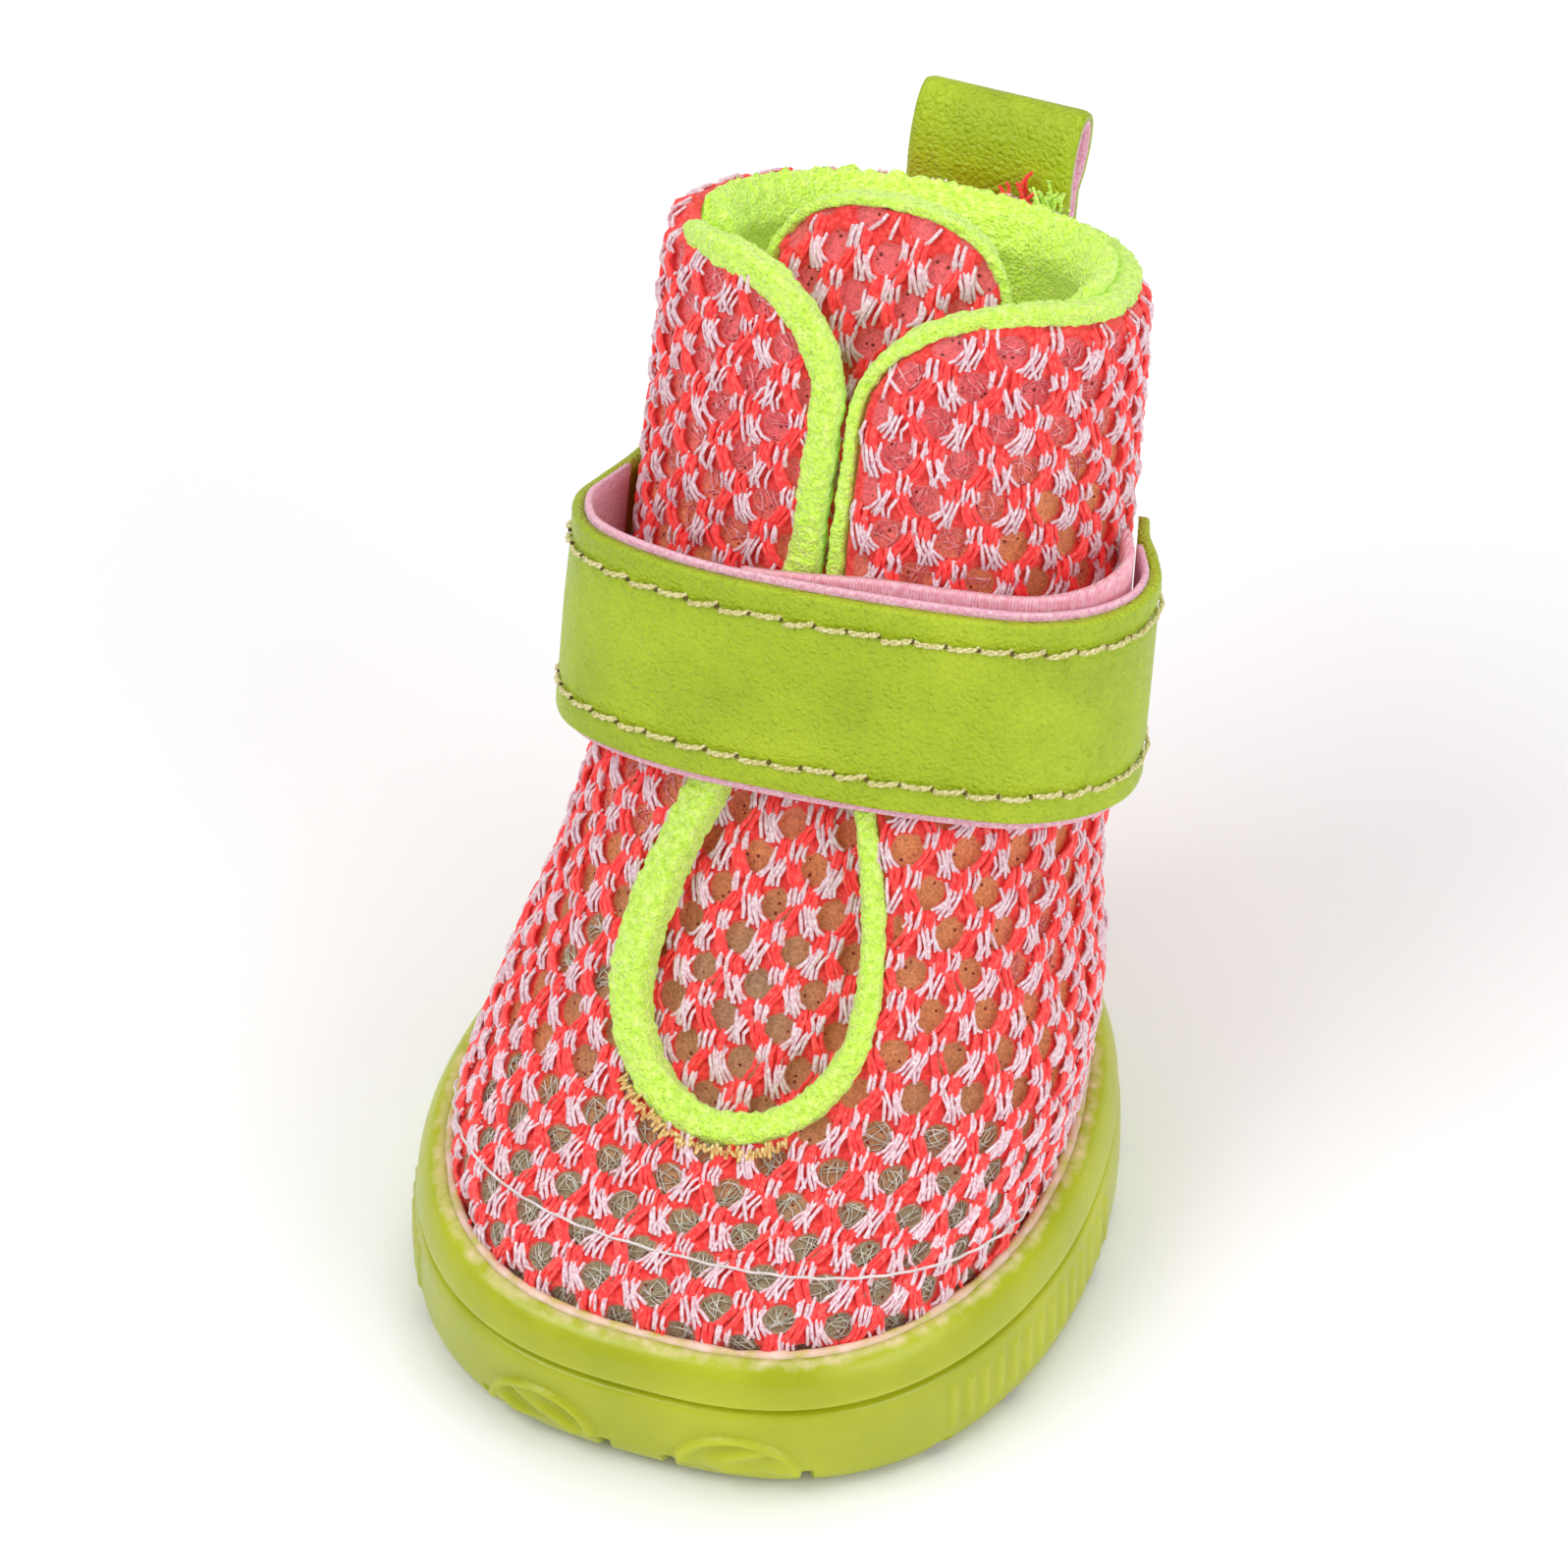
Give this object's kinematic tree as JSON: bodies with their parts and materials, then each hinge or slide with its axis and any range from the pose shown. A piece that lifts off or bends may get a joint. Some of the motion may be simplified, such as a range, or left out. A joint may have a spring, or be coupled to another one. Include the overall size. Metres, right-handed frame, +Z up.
{
  "type": "dog boot",
  "caption": "Dog boot with a rubber cup sole, a mesh upper open down its front over a tongue, a hook-and-loop strap round the shaft and a pull loop at the back.",
  "frame": {"origin": "on the floor, under the widest part of the sole, on its middle line", "axes": "+Z up, toe towards -Y, heel towards +Y, +X towards the wearer's left"},
  "size_m": [0.0464, 0.0735, 0.0704],
  "materials": {
    "sole_rubber": "soft, translucent lime, slightly glossy",
    "insole_foam": "matt foam",
    "air_mesh": "coral open knit with white yarns",
    "terry_tape": "neon yellow-green terry tape",
    "grained_pu": "lime grained synthetic leather, half matt",
    "pink_felt": "pink felt and loop webbing"
  },
  "bodies": {
    "root": {"outsole": "sole_rubber", "insole": "insole_foam", "upper": "air_mesh", "tongue": "air_mesh", "edge_binding": "terry_tape", "tongue_binding": "terry_tape", "strap": "grained_pu", "strap_backing": "pink_felt", "under_strap": "pink_felt", "pull_loop": "grained_pu"}
  },
  "joints": []
}
